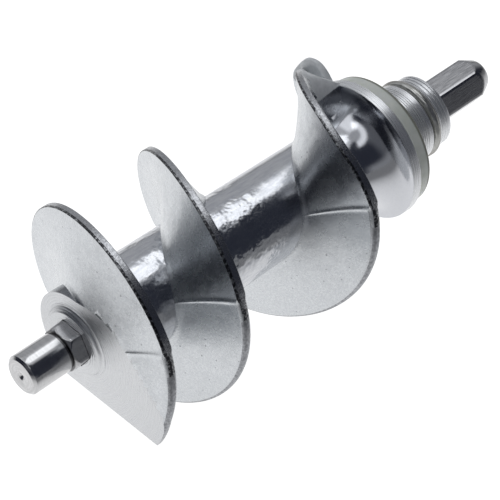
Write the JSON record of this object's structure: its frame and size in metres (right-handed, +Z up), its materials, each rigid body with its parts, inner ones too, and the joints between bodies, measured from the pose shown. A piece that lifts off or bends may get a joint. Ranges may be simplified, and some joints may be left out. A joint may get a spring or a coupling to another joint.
{
  "type": "feed screw",
  "caption": "Left-hand cast metal feed screw on a hexagonal bar, with a round journal, a knife seat, a sealing ring and a hexagonal drive end.",
  "frame": {"origin": "centre of the flat end of the hexagonal drive end, on the screw axis", "axes": "+X along the screw axis, out of the drive end, so the journal points towards -X; +Z up, square to the axis"},
  "size_m": [0.1198, 0.0473, 0.0469],
  "materials": {
    "bright_steel": "bright drawn hexagonal bar, ground journal",
    "cast_aluminium": "die cast and tumbled, satin to polished",
    "pale_plastic": "smooth pale greenish white plastic",
    "amber_rubber": "glossy dark olive amber"
  },
  "bodies": {
    "worm": {"drive_shaft": "bright_steel", "screw_casting": "cast_aluminium", "hub_o_ring": "amber_rubber"},
    "seal": {"sealing_ring": "pale_plastic"}
  },
  "joints": [
    {"name": "seal_spin", "type": "hinge", "parent": "worm", "child": "seal", "pos_m": [-0.03, 0, 0], "axis": [1, 0, 0], "continuous": true}
  ]
}
